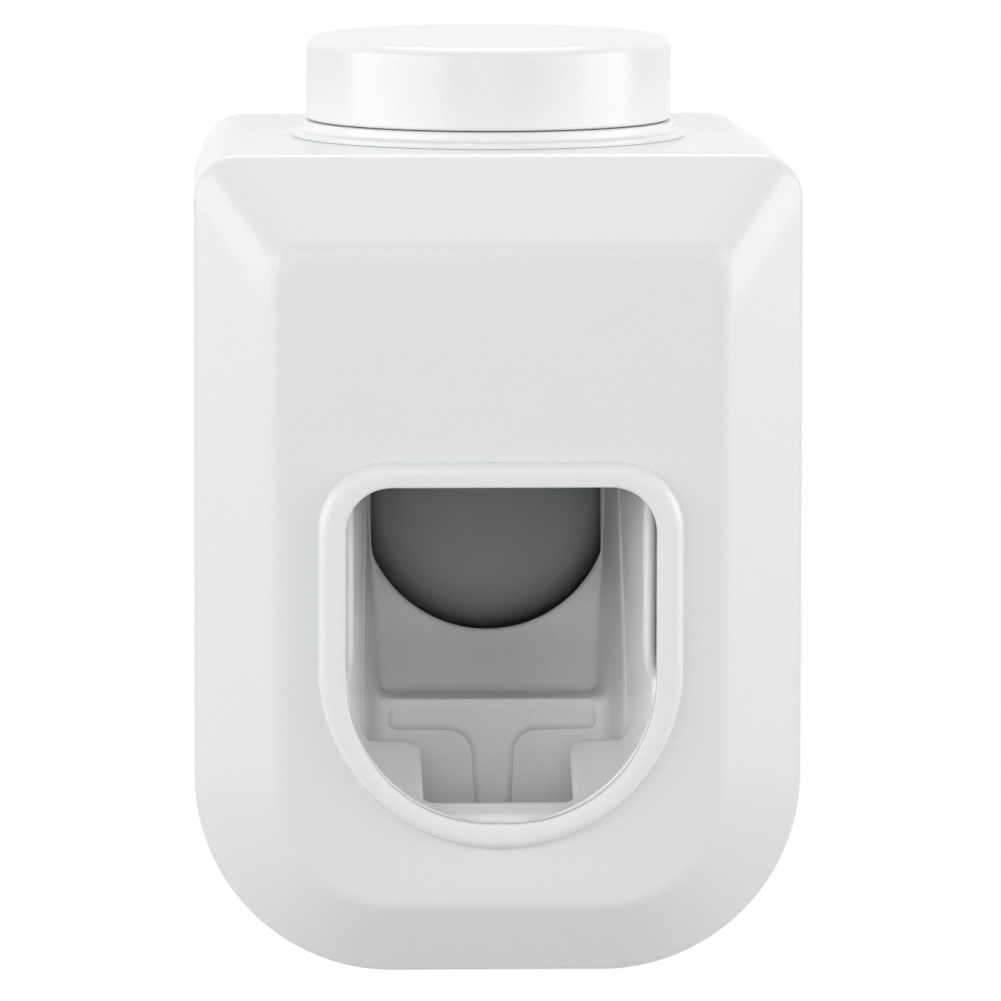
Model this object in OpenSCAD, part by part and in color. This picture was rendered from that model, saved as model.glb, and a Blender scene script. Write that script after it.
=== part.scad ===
// Wall-mounted vacuum toothpaste dispenser.
// X runs to the right, Z up and Y back to the wall. The origin is the middle of the wall face.
// The bracket is stuck to the wall, the housing hangs on its two studs, and the front cover
// pulls off forwards. A brush pushes the lever, the lever squeezes the bulb, and the bulb draws
// paste from the upturned tube in the top inlet and sends it out of the nozzle.

/* [Body] */
// Width across the front edge
body_w = 60; // [58:0.5:66]
// Height of the casing without its cap
body_h = 81.3; // [79:0.1:92]
// Depth from the wall to the front face
body_d = 63; // [62:0.5:68]
// Wall thickness of the casing
wall = 2; // [1.6:0.1:2.4]
// Distance of the joint line from the wall
seam_d = 29; // [27:0.5:30]
// How far the sides draw in towards the back, each side
rear_draft = 1.75; // [1:0.05:2]
// Radius of the upper corners
top_r = 4.5; // [3.5:0.1:6]
// Radius of the lower corners
bottom_r = 19.6; // [15:0.1:21]
// How far the front face stands in front of the outer edge
chamfer_d = 6.4; // [4:0.1:8]
// Width of the chamfer at each side
chamfer_side = 7.9; // [6:0.1:9]
// Height of the chamfer at the top
chamfer_top = 8.8; // [7:0.1:10]
// Height of the chamfer at the bottom
chamfer_bottom = 7.2; // [6:0.1:8]

/* [Window] */
// Clear width inside the bezel
window_w = 30.56; // [29:0.1:32]
// Clear height inside the bezel
window_h = 32.96; // [31:0.1:34]
// Distance from the top of the casing down to the window
window_drop = 32.5; // [32:0.1:34]
// Radius of the upper corners of the window
window_r = 4.5; // [3:0.1:6]
// Width of the bezel ring
bezel_w = 2.75; // [2:0.05:3.2]
// How far the bezel stands out from the front face
bezel_h = 1.4; // [0.8:0.1:2]
// Width of the notch for the brush handle
notch_w = 15.2; // [12:0.1:17]
// Wall thickness of the brush guide
guide_t = 1.2; // [1:0.1:1.4]

/* [Inlet and cap] */
// Distance of the inlet axis from the wall
throat_d = 31.5; // [31:0.1:32]
// Bore that grips the neck of the tube
throat_bore_d = 13.2; // [11:0.1:15]
// Outer diameter of the collar flange
collar_d = 39.8; // [39.4:0.1:41]
// Outer diameter of the dust cap
cap_d = 36.6; // [36.2:0.1:37.2]
// Height of the dust cap
cap_h = 8.3; // [8:0.1:11]
// Wall thickness of the dust cap
cap_t = 1.6; // [1.5:0.05:1.8]

/* [Pump and lever] */
// Radius of the silicone bulb
bulb_r = 11; // [10:0.1:11]
// Wall thickness of the bulb
bulb_t = 1.5; // [1:0.1:2]
// Distance of the lever axle from the wall
pivot_d = 18; // [17.5:0.1:18.5]
// Distance of the lever axle below the top
pivot_drop = 12.15; // [12:0.05:12.5]
// Diameter of the lever axle
axle_d = 3; // [2.5:0.1:3]
// Clear width between the side walls of the lever
lever_in = 23.8; // [23.4:0.1:24]
// Thickness of the lever's walls
lever_t = 2; // [1.8:0.05:2]
// Distance from the front face back to the lever's push face
push_depth = 18; // [17.5:0.1:19]
// Bore of the nozzle
nozzle_bore_d = 5; // [4:0.1:5.6]

/* [Bracket] */
// Width of the wall plate
plate_w = 50; // [48:0.5:50]
// Height of the wall plate
plate_h = 42; // [40:0.5:42]
// Thickness of the wall plate
plate_t = 2.4; // [2:0.1:2.6]
// Thickness of the adhesive pad
pad_t = 0.8; // [0.6:0.1:1]
// How far the housing lifts to come off its studs
lift = 9; // [8.6:0.1:9]
// Diameter of the studs
stud_d = 4; // [3.6:0.1:4.2]

/* [Hidden] */
$fn = 96;

// Clearances: a sliding fit, a running fit on a shaft, and a loose gap between soft parts
slide_fit = 0.1;
run_fit = 0.05;
loose_fit = 0.3;

// Planes and heights of the casing
top_z = body_h / 2;
bottom_z = -body_h / 2;
front_y = -body_d;
edge_y = front_y + chamfer_d;
weld_y = edge_y + 0.8;
face_in_y = front_y + wall;
seam_y = -seam_d;
rear_y = -1.2;
pocket_y = -(pad_t + plate_t + 0.2);
back_in_y = pocket_y - wall;
corner_steps = 14;
small_r = 1.5;

// Bracket and its keyholes
plate_z = 7;
stud_x = plate_w / 2 - 3;
stud_z = plate_z + plate_h / 2 - 12;
head_r = stud_d / 2 + 1.5;
plate_y1 = -pad_t;
plate_y0 = plate_y1 - plate_t;

// Window and what lines up with it
win_half = window_w / 2;
win_top = top_z - window_drop;
win_bottom = win_top - window_h;
rebate = bezel_w / 2;
hole_half = win_half + rebate;

// Inlet stack, upwards from the cup
throat_y = -throat_d;
cup_top = top_z - 3.15;
cup_floor = cup_top - 2.3;
cup_bottom = cup_top - 6.7;
cup_r = 16.4;
spigot_r = collar_d / 2 - 1;
flange_z = top_z + 0.05;
step_z = flange_z + 0.7;
neck_z = step_z + 0.45;
cap_z = neck_z + 0.25;
neck_top = neck_z + 1.9;
cap_in_r = cap_d / 2 - cap_t;
neck_r = cap_in_r - 0.5;
cap_in_top = cap_z + cap_h - 1.4;
seal_t = 0.8;
gasket_r = 12.4;
ring_r = 0.6;
valve_t = 0.8;

// Chassis and pump
chassis_t = 2;
chassis_half = 16.8;
cheek_t = 1.8;
chassis_y = back_in_y - chassis_t;
chassis_low = plate_z - plate_h / 2 - lift - 7;
base_t = 2;
seat_y = chassis_y - 7.1;
bulb_z = win_top - 5.65;
bulb_y = seat_y - 1;
seat_r = bulb_r + 1.8;
flange_t = 1.5;
ring_t = 1.5;
column_half = 8;
bore_r = 1.4;
duct_half = 5.5;
duct_low = bulb_z + seat_r + 1.2;
duct_h = 7;
duct_high = duct_low + duct_h;
duct_z = (duct_low + duct_high) / 2;
nozzle_inset = 16;
nozzle_y = front_y + nozzle_inset;
duct_front = nozzle_y - 3;
nozzle_low = win_top - 0.65;
nozzle_r = nozzle_bore_d / 2 + 1.4;
bore_y = chassis_y - 2.8;
column_y = seat_y + 2.3;

// Lever: front surface of its plate, shelf and push face, in Y and Z
pivot_y = -pivot_d;
pivot_z = top_z - pivot_drop;
axle_r = axle_d / 2;
lever_half = lever_in / 2;
lever_out = lever_half + lever_t;
boss_r = 3.2;
bush_r = axle_r + 0.7;
plate_y = bulb_y - bulb_r - 0.5;
push_y = front_y + push_depth;
shelf_y = push_y + 3;
shelf_z = bulb_z - 17.6;
lever_low = shelf_z - 9.3;
slot_r = bulb_r + 1.5;
bar_y = bulb_y - bulb_r;
rail_top = bulb_z + 6.5;
plate_front = [[plate_y + 1.5, rail_top], [plate_y, bulb_z - 0.5], [plate_y - 3, bulb_z - 12.5],
    [plate_y - 6.5, shelf_z - 0.4], [shelf_y, shelf_z], [push_y, lever_low]];
plate_back = [[push_y + lever_t, lever_low - 0.5], [shelf_y + 1.4, shelf_z - lever_t],
    [plate_y - 5.6, shelf_z - lever_t - 0.5], [plate_y - 1, bulb_z - 13.3],
    [plate_y + 2, bulb_z - 0.5], [plate_y + 3.5, rail_top]];
stop_z = shelf_z - 4.6;
stop_y = chassis_y - 11;
stop_t = 2.4;
post_r = 3.5;

// Brush guide: its rear edge leans back from the floor of the funnel to the top
guide_low_y = front_y + 14;
guide_high_y = front_y + 21.7;
guide_floor_z = win_bottom + 6.4;
guide_low_half = 13.2;
guide_high_half = 12.6;
ear_y = face_in_y + 6;
ear_r = 2.6;
guide_flange = 1.3;
ear_x = hole_half + guide_flange + loose_fit + ear_r;
ear_z = win_top - 8;

// Fasteners
screw_x = 12;
screw_zs = [top_z - 9.15, chassis_low + 3];
pump_x = 11;
pump_half = 13.5;
pump_margin = 2.5;
pump_zs = [bulb_z + 18.5, stop_z + post_r + 0.4 + pump_margin];

// ---- Shapes that repeat ----

function mix(a, b, f) = a + (b - a) * f;

function arc(x, z, r, start, n) =
    [for (i = [0:n]) let (a = start + 90 * i / n) [x + r * cos(a), z + r * sin(a)]];

// Rounded outline in X and Z, anticlockwise from the front
function ring(half, top, bottom, rt, rb) = concat(
    arc(half - rb, bottom + rb, rb, -90, corner_steps),
    arc(half - rt, top - rt, rt, 0, corner_steps),
    arc(rt - half, top - rt, rt, 90, corner_steps),
    arc(rb - half, bottom + rb, rb, 180, corner_steps));

// Casing outline drawn in by a share f of the chamfer and by a wall t, with extra draft at the sides
function casing_ring(f, t, draft = 0) = ring(
    body_w / 2 - f * chamfer_side - t - draft,
    top_z - f * chamfer_top - t,
    bottom_z + f * chamfer_bottom + t,
    max(mix(top_r, 3, f) - t, 0.6),
    mix(bottom_r, 11.8, f) - t);

// Closed skin through rings of equal length, each given as [y, outline]
module loft(rings) {
    n = len(rings[0][1]);
    last = len(rings) - 1;
    points = [for (r = rings) for (p = r[1]) [p[0], r[0], p[1]]];
    sides = [for (k = [0:last - 1]) for (i = [0:n - 1])
        let (j = (i + 1) % n, a = k * n + i, b = k * n + j) each [[a, b, b + n], [a, b + n, a + n]]];
    ends = [[for (i = [n - 1:-1:0]) i], [for (i = [0:n - 1]) last * n + i]];
    polyhedron(points, concat(sides, ends), convexity = 6);
}

module along_x(w) rotate([90, 0, 90]) linear_extrude(w, center = true) children();

module along_y(y0, y1) translate([0, y1, 0]) rotate([90, 0, 0]) linear_extrude(y1 - y0) children();

module rod_x(r, x0, x1) translate([x0, 0, 0]) rotate([0, 90, 0]) cylinder(r = r, h = x1 - x0);

module rod_y(r, y0, y1) translate([0, y1, 0]) rotate([90, 0, 0]) cylinder(r = r, h = y1 - y0);

module box(x, y, z) translate([x[0], y[0], z[0]]) cube([x[1] - x[0], y[1] - y[0], z[1] - z[0]]);

module pipe_z(r_out, r_in, z0, z1) translate([0, 0, z0]) difference() {
    cylinder(r = r_out, h = z1 - z0);
    translate([0, 0, -1]) cylinder(r = r_in, h = z1 - z0 + 2);
}

module pipe_y(r_out, r_in, y0, y1) difference() {
    rod_y(r_out, y0, y1);
    rod_y(r_in, y0 - 1, y1 + 1);
}

// Window shape: flat top with rounded corners and a half-round bottom
module u_shape(half, top, bottom, r) {
    translate([0, bottom + half]) circle(r = half);
    translate([-half, bottom + half]) square([2 * half, top - r - bottom - half]);
    translate([r - half, bottom + half]) square([2 * (half - r), top - bottom - half]);
    for (s = [-1, 1]) translate([s * (half - r), top - r]) circle(r = r);
}

// Pan-head screw along +Y with its head's seat at y = 0 and a hexagon socket
module screw(r, len, head) {
    rod_y(r, 0, len);
    difference() {
        rod_y(head, -head * 0.6, 0);
        translate([0, -head * 0.25, 0]) rotate([90, 0, 0]) cylinder(r = head * 0.5, h = head, $fn = 6);
    }
}

module four(x, zs) for (s = [-1, 1]) for (z = zs) translate([s * x, 0, z]) children();

// ---- Bracket ----

// Double-sided foam pad that holds the plate to the wall
module adhesive_pad() color("lightgray")
    box([3 - plate_w / 2, plate_w / 2 - 3], [-pad_t, 0], [plate_z + 2 - plate_h / 2, plate_z - 2 + plate_h / 2]);

// Plate with two headed studs, on which the housing hangs
module wall_plate() color("gainsboro") {
    box([-plate_w / 2, plate_w / 2], [plate_y0, plate_y1], [plate_z - plate_h / 2, plate_z + plate_h / 2]);
    for (s = [-1, 1]) translate([s * stud_x, 0, stud_z]) {
        rod_y(stud_d / 2, back_in_y - 0.2, plate_y0);
        rod_y(head_r, back_in_y - 1.8, back_in_y - 0.2);
    }
}

// ---- Housing ----

module collar_hole() translate([0, throat_y, top_z - wall - 4]) cylinder(r = spigot_r + slide_fit, h = wall + 8);

// Rear shell with the pocket for the wall plate, the keyholes and the lip that locates the cover
module rear_housing() color("white") difference() {
    union() {
        difference() {
            loft([[seam_y, casing_ring(0, 0)], [rear_y, casing_ring(0, 0, rear_draft)]]);
            loft([[seam_y - 1, casing_ring(0, wall)], [seam_y, casing_ring(0, wall)],
                [back_in_y, casing_ring(0, wall, rear_draft)]]);
        }
        difference() {
            union() {
                loft([[seam_y - 2.5, casing_ring(0, wall + slide_fit)], [seam_y + 1, casing_ring(0, wall + slide_fit)]]);
                loft([[seam_y, casing_ring(0, wall - 0.4)], [seam_y + 2, casing_ring(0, wall - 0.4)]]);
            }
            loft([[seam_y - 3, casing_ring(0, wall + 1.1)], [seam_y + 3, casing_ring(0, wall + 1.1)]]);
        }
    }
    box([-plate_w / 2 - loose_fit, plate_w / 2 + loose_fit], [pocket_y, 0],
        [plate_z - plate_h / 2 - lift - 0.5, plate_z + plate_h / 2 + 0.5]);
    for (s = [-1, 1]) translate([s * stud_x, 0, stud_z]) {
        rod_y(stud_d / 2 + 0.2, back_in_y - 1, 0);
        translate([0, 0, -lift]) rod_y(head_r + loose_fit, back_in_y - 1, 0);
        box([-stud_d / 2 - 0.2, stud_d / 2 + 0.2], [back_in_y - 1, 0], [-lift, 0]);
    }
    collar_hole();
    four(screw_x, screw_zs) rod_y(1.2, back_in_y - 1, -2.4);
}

// Frame that carries the pump, the lever axle and the rubber stop
module chassis() color("silver") difference() {
    union() {
        box([-chassis_half, chassis_half], [chassis_y, back_in_y], [chassis_low, pivot_z + 5]);
        for (s = [-1, 1]) translate([s * (chassis_half - cheek_t / 2), 0, 0]) along_x(cheek_t)
            polygon([[chassis_y, pivot_z - 10], [chassis_y, pivot_z + 5], [pivot_y - 3, pivot_z + 5],
                [pivot_y - 5, pivot_z + 3], [pivot_y - 5, pivot_z - 3]]);
        translate([0, 0, stop_z]) rod_y(post_r, stop_y, chassis_y);
    }
    translate([0, pivot_y, pivot_z]) rod_x(axle_r, -chassis_half - 1, chassis_half + 1);
    four(screw_x, screw_zs) rod_y(1.4, chassis_y - 1, back_in_y + 1);
    four(pump_x, pump_zs) rod_y(1, chassis_y - 1, back_in_y + 1);
}

// Four screws that hold the frame in the rear shell
module chassis_screws() color("dimgray") four(screw_x, screw_zs) translate([0, chassis_y, 0])
    screw(1.2, -2.6 - chassis_y, 2.5);

// Pump block: cup under the inlet, column with the two ways, seat of the bulb and duct to the nozzle
module pump_body() color("gainsboro") difference() {
    union() {
        box([-pump_half, pump_half], [chassis_y - base_t, chassis_y],
            [pump_zs[1] - pump_margin, pump_zs[0] + pump_margin]);
        box([-column_half, column_half], [column_y, chassis_y], [bulb_z, cup_top]);
        translate([0, 0, bulb_z]) rod_y(seat_r, seat_y, chassis_y - 1);
        translate([0, throat_y, cup_bottom]) cylinder(r = cup_r, h = cup_top - cup_bottom);
        box([-column_half, column_half], [throat_y, chassis_y], [cup_bottom, cup_top]);
        box([-duct_half, duct_half], [duct_front, chassis_y], [duct_low, duct_high]);
    }
    translate([0, throat_y, cup_floor]) cylinder(r = gasket_r + slide_fit, h = 10);
    translate([0, throat_y, cup_bottom + bore_r]) cylinder(r = 5, h = 10);
    translate([-4, 0, cup_bottom + bore_r + 0.6]) rod_y(bore_r, throat_y, bore_y);
    translate([-4, bore_y, bulb_z]) cylinder(r = bore_r, h = cup_bottom + bore_r + 0.6 - bulb_z);
    translate([4, bore_y, bulb_z]) cylinder(r = bore_r, h = duct_z - bulb_z);
    translate([0, bore_y, duct_z]) rod_x(bore_r, 0, column_half + 1);
    translate([0, 0, duct_z]) rod_y(bore_r, duct_front - 1, bore_y);
    translate([0, 0, bulb_z]) rod_y(bulb_r - bulb_t - 1, seat_y - 1, bore_y - bore_r + 0.7);
    translate([0, nozzle_y, duct_low - 1]) cylinder(r = nozzle_bore_d / 2, h = duct_z - duct_low + 1);
    four(pump_x, pump_zs) rod_y(1.2, chassis_y - base_t - 1, chassis_y + 1);
}

// Four screws that hold the pump block on the frame
module pump_screws() color("dimgray") four(pump_x, pump_zs) translate([0, chassis_y - base_t, 0])
    screw(1, base_t + chassis_t - 0.2, 2.1);

// Collar that closes the hole of both shells and carries the cap
module inlet_collar() color("white") translate([0, throat_y, 0]) difference() {
    union() {
        pipe_z(spigot_r, gasket_r + slide_fit, cup_top, flange_z);
        pipe_z(collar_d / 2, gasket_r + slide_fit, flange_z, step_z);
        pipe_z(spigot_r, gasket_r + slide_fit, step_z, neck_z);
        pipe_z(neck_r, gasket_r + slide_fit, neck_z, neck_top);
    }
    translate([0, 0, neck_z + 0.95]) rotate_extrude() translate([neck_r - ring_r + 0.35, 0]) circle(r = ring_r);
}

// O-ring in the neck that grips the cap
module neck_ring() color("dimgray") translate([0, throat_y, neck_z + 0.95])
    rotate_extrude() translate([neck_r - ring_r + 0.35, 0]) circle(r = ring_r);

// Silicone gasket that grips the neck of the paste tube
module tube_gasket() color("darkgray") translate([0, throat_y, 0]) difference() {
    pipe_z(gasket_r, throat_bore_d / 2, cup_floor + valve_t, neck_top - 0.3);
    translate([0, 0, neck_top - 1.3]) cylinder(r1 = throat_bore_d / 2, r2 = throat_bore_d / 2 + 1.5, h = 1.5);
}

// Silicone flap under the gasket that lets paste only down
module inlet_valve() color("dimgray") translate([0, throat_y, 0]) difference() {
    translate([0, 0, cup_floor]) cylinder(r = gasket_r - 2, h = valve_t);
    translate([0, 0, cup_floor - 1]) linear_extrude(valve_t + 2) difference() {
        circle(r = 4.4);
        circle(r = 4);
        translate([-6, -1.2]) square([6, 2.4]);
    }
}

// Silicone bulb: a hollow dome with a clamped flange
module pump_bulb() color("#4a4d52") translate([0, bulb_y, bulb_z]) rotate([90, 0, 0]) rotate_extrude() {
    intersection() {
        difference() {
            circle(r = bulb_r);
            circle(r = bulb_r - bulb_t);
        }
        square(bulb_r + 1);
    }
    translate([bulb_r - bulb_t, bulb_y - seat_y]) square([seat_r - 0.2 - bulb_r + bulb_t, flange_t]);
}

// Ring that clamps the bulb on its seat
module bulb_ring() color("#55585d") translate([0, 0, bulb_z]) {
    pipe_y(seat_r + 1.1, bulb_r + 0.35, seat_y - flange_t - ring_t, seat_y - flange_t);
    pipe_y(seat_r + 1.1, seat_r + run_fit, seat_y - flange_t, seat_y + 2);
}

// Plugs that close the drilled ends of the ways in the pump block
module duct_plugs() color("gray") {
    translate([0, 0, duct_z]) {
        rod_y(bore_r, duct_front, duct_front + 1.5);
        rod_y(bore_r + 0.8, duct_front - 0.8, duct_front);
    }
    translate([0, bore_y, duct_z]) rod_x(bore_r, column_half - 2, column_half);
}

// Nozzle under the end of the duct
module nozzle() color("white") translate([0, nozzle_y, 0]) {
    pipe_z(nozzle_r, nozzle_bore_d / 2, nozzle_low, duct_low);
    pipe_z(duct_half - 0.2, nozzle_r - 0.01, duct_low - 1.2, duct_low);
}

// Silicone outlet valve in the nozzle
module outlet_valve() color("dimgray") translate([0, nozzle_y, 0]) difference() {
    translate([0, 0, nozzle_low + 1.4]) cylinder(r = nozzle_bore_d / 2, h = 3);
    translate([0, 0, nozzle_low + 2.2]) cylinder(r = nozzle_bore_d / 2 - 0.7, h = 3);
    box([-0.15, 0.15], [-1.4, 1.4], [nozzle_low, nozzle_low + 3]);
}

// Steel axle of the lever
module lever_axle() color("silver") translate([0, pivot_y, pivot_z])
    rod_x(axle_r, -chassis_half - 1.2, chassis_half + 1.2);

// Clips that hold the axle in the frame
module axle_clips() color("dimgray") translate([0, pivot_y, pivot_z]) for (s = [-1, 1]) difference() {
    translate([s * (chassis_half + 0.4), 0, 0]) rod_x(axle_r + 1.7, -0.3, 0.3);
    translate([s * (chassis_half + 0.4), 0, 0]) rod_x(axle_r, -1, 1);
    translate([s * (chassis_half + 0.4), 0, 0]) box([-1, 1], [-axle_r * 0.7, axle_r * 0.7], [-5, 0]);
}

// Rubber button on the frame's post that ends the lever's stroke
module lever_stop() color("dimgray") translate([0, 0, stop_z]) {
    rod_y(post_r, stop_y - stop_t + 0.8, stop_y);
    rod_y(post_r - 0.8, stop_y - stop_t, stop_y - stop_t + 0.8);
}

// ---- Front cover ----

// Shares of the chamfer's depth and width that round the two edges of the front
face_edge = [[1, 1.07], [0.985, 1.02], [0.95, 0.965], [0.9, 0.9], [0.06, 0.06], [0.01, 0.015], [-0.08, 0]];

// Face of the front shell with its chamfer and window, welded along weld_y to the side walls
module front_panel() color("white") difference() {
    union() {
        difference() {
            loft(concat([for (e = face_edge) [edge_y - e[0] * chamfer_d, casing_ring(e[1], 0)]],
                [[weld_y, casing_ring(0, 0)]]));
            loft([[face_in_y, casing_ring(0.98, 1)], [weld_y, casing_ring(0, wall)], [weld_y + 1, casing_ring(0, wall)]]);
        }
        for (s = [-1, 1]) translate([s * ear_x, 0, ear_z]) rod_y(ear_r, face_in_y - 1, ear_y - slide_fit);
    }
    along_y(front_y - 1, face_in_y + 0.5)
        u_shape(hole_half, win_top + rebate, win_bottom - rebate, window_r + rebate);
    for (s = [-1, 1]) translate([s * ear_x, 0, ear_z]) rod_y(0.9, face_in_y + 1, ear_y);
}

// Side walls of the front shell; their top is open to the back around the collar
module front_cover() color("white") difference() {
    loft([[weld_y, casing_ring(0, 0)], [seam_y, casing_ring(0, 0)]]);
    loft([[weld_y - 1, casing_ring(0, wall)], [seam_y + 1, casing_ring(0, wall)]]);
    collar_hole();
    box([-spigot_r - slide_fit, spigot_r + slide_fit], [throat_y, seam_y + 1], [top_z - wall - 4, top_z + 4]);
}

// Raised bezel pressed into the window
module window_bezel() color("whitesmoke") difference() {
    union() {
        along_y(front_y - bezel_h, front_y)
            u_shape(win_half + bezel_w, win_top + bezel_w, win_bottom - bezel_w, window_r + bezel_w - 0.6);
        along_y(front_y, face_in_y) u_shape(hole_half - slide_fit, win_top + rebate - slide_fit,
            win_bottom - rebate + slide_fit, window_r + rebate - slide_fit);
    }
    along_y(front_y - bezel_h - 1, face_in_y + 1) u_shape(win_half, win_top, win_bottom, window_r);
}

// Outline of the brush guide at depth y, grown by t
function guide_ring(y, half, floor_z, r, t, top) = [y, ring(half + t, top, floor_z - t, small_r, r + t)];

// Funnel behind the window: side walls, a floor that ramps up and back, and the handle notch
module brush_guide() color("gainsboro") difference() {
    union() {
        loft([guide_ring(face_in_y, win_half - 0.1, win_bottom + 0.1, win_half - 0.15, guide_t, win_top + 0.4),
            guide_ring(guide_low_y, guide_low_half, guide_floor_z, small_r, guide_t, win_top + 0.4),
            guide_ring(guide_high_y, guide_high_half, guide_floor_z, small_r, guide_t, win_top + 0.4)]);
        along_y(face_in_y, face_in_y + guide_t)
            u_shape(hole_half + guide_flange, win_top + 0.4, win_bottom - rebate - guide_flange, window_r);
        for (s = [-1, 1]) translate([s * ear_x, 0, ear_z]) rod_y(ear_r, ear_y, ear_y + guide_t);
        box([-ear_x, ear_x], [ear_y, ear_y + guide_t], [ear_z - ear_r, ear_z + ear_r]);
    }
    loft([guide_ring(face_in_y - 1, win_half - 0.1, win_bottom + 0.1, win_half - 0.15, 0, win_top + 9),
        guide_ring(face_in_y, win_half - 0.1, win_bottom + 0.1, win_half - 0.15, 0, win_top + 9),
        guide_ring(guide_low_y, guide_low_half, guide_floor_z, small_r, 0, win_top + 9),
        guide_ring(guide_high_y + 1, guide_high_half, guide_floor_z, small_r, 0, win_top + 9)]);
    along_x(60) polygon([[guide_low_y, guide_floor_z - 20], [guide_low_y, guide_floor_z],
        [guide_high_y, win_top + 2], [guide_high_y + 9, win_top + 2], [guide_high_y + 9, guide_floor_z - 20]]);
    box([-notch_w / 2, notch_w / 2], [face_in_y + guide_t + 0.3, guide_low_y + 1], [win_bottom - 9, guide_floor_z + 4]);
    for (s = [-1, 1]) translate([s * ear_x, 0, ear_z]) rod_y(1.1, ear_y - 1, ear_y + guide_t + 1);
}

// Two screws that hold the guide on the cover's bosses, entered from behind
module guide_screws() color("dimgray") for (s = [-1, 1])
    translate([s * ear_x, ear_y + guide_t, ear_z]) mirror([0, 1, 0]) screw(0.9, guide_t + 3.6, 2.1);

// ---- Lever ----

// Push lever: pierced plate, shelf and ribbed push face between two side walls with pivot bosses
module push_lever() color("darkgray") difference() {
    union() {
        along_x(lever_in) polygon(concat(plate_front, plate_back));
        for (s = [-1, 1]) translate([s * (lever_half + lever_t / 2), 0, 0]) along_x(lever_t)
            polygon([[pivot_y - 2.6, pivot_z - 1.5], [pivot_y + 2.6, pivot_z - 1.5], [plate_y + 3.5, rail_top],
                [plate_y + 2, bulb_z - 0.5], [plate_y - 1, bulb_z - 13.3], [plate_y - 5.6, lever_low - 0.5],
                [push_y + 1, lever_low - 0.5], [guide_low_y + 4, shelf_z - 5], [guide_low_y + 1, shelf_z - 2],
                [guide_high_y - 0.6, win_top - 4], [guide_high_y + 1.5, win_top - 3], [plate_y - 4, rail_top + 2]]);
        for (s = [-1, 1]) translate([s * (lever_half + lever_t / 2), pivot_y, pivot_z])
            rod_x(boss_r, -lever_t / 2, lever_t / 2);
        box([-lever_half - 0.5, lever_half + 0.5], [bar_y - 2.2, bar_y], [bulb_z + 2.6, bulb_z + 6.5]);
        along_x(2 * lever_half - 2.8) polygon([[shelf_y - 1.1, shelf_z + 0.1], [shelf_y + 1, shelf_z],
            [shelf_y, shelf_z - 2.8], [shelf_y - 1.9, shelf_z - 2.8]]);
        along_x(3) polygon([[shelf_y - 1.1, shelf_z + 0.1], [shelf_y + 1, shelf_z],
            [push_y + 1, lever_low], [push_y - 1.1, lever_low]]);
    }
    hull() {
        translate([0, 0, bulb_z]) rod_y(slot_r, plate_y - 10, plate_y + 10);
        box([-lever_half + 0.23, lever_half - 0.23], [plate_y - 10, plate_y + 10], [bulb_z, bulb_z + 1]);
    }
    for (s = [-1, 1]) translate([s * (lever_half + lever_t / 2), pivot_y, pivot_z]) rod_x(bush_r, -5, 5);
}

// Plain bearings of the lever on its axle
module lever_bushes() color("white") translate([0, pivot_y, pivot_z]) for (s = [-1, 1]) difference() {
    union() {
        translate([s * (lever_half + lever_t / 2), 0, 0]) rod_x(bush_r, -lever_t / 2, lever_t / 2);
        translate([s * (lever_out + 0.45), 0, 0]) rod_x(bush_r + 0.9, -0.45, 0.45);
    }
    rod_x(axle_r + run_fit, -40, 40);
}

// ---- Cap ----

// Lift-off dust cap over the inlet
module dust_cap() color("white") translate([0, throat_y, 0]) difference() {
    union() {
        translate([0, 0, cap_z]) cylinder(r = cap_d / 2, h = cap_h - 1.2);
        translate([0, 0, cap_z]) cylinder(r = cap_d / 2 - 1.2, h = cap_h);
        translate([0, 0, cap_z + cap_h - 1.2]) rotate_extrude() translate([cap_d / 2 - 1.2, 0]) circle(r = 1.2);
    }
    translate([0, 0, cap_z - 1]) cylinder(r = cap_in_r, h = cap_in_top - cap_z + 1);
}

// Foam disc under the cap's ceiling
module cap_seal() color("lightgray") translate([0, throat_y, cap_in_top - seal_t])
    cylinder(r = cap_in_r - 0.3, h = seal_t);

adhesive_pad();
wall_plate();
rear_housing();
chassis();
chassis_screws();
pump_body();
pump_screws();
inlet_collar();
neck_ring();
tube_gasket();
inlet_valve();
pump_bulb();
bulb_ring();
duct_plugs();
outlet_valve();
nozzle();
lever_axle();
axle_clips();
lever_stop();
front_panel();
front_cover();
window_bezel();
brush_guide();
guide_screws();
push_lever();
lever_bushes();
dust_cap();
cap_seal();
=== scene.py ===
# Looks of a wall-hung toothpaste dispenser: white shells, a raised bezel round the brush window,
# a grey push lever with the dark pump bulb behind it, and a round dust cap on top.
# Lengths are written in millimetres and multiplied by MM where a mesh is made.
import math

import bmesh
import bpy
import numpy as np
from mathutils import Matrix, Vector
from mathutils.geometry import delaunay_2d_cdt


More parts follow.
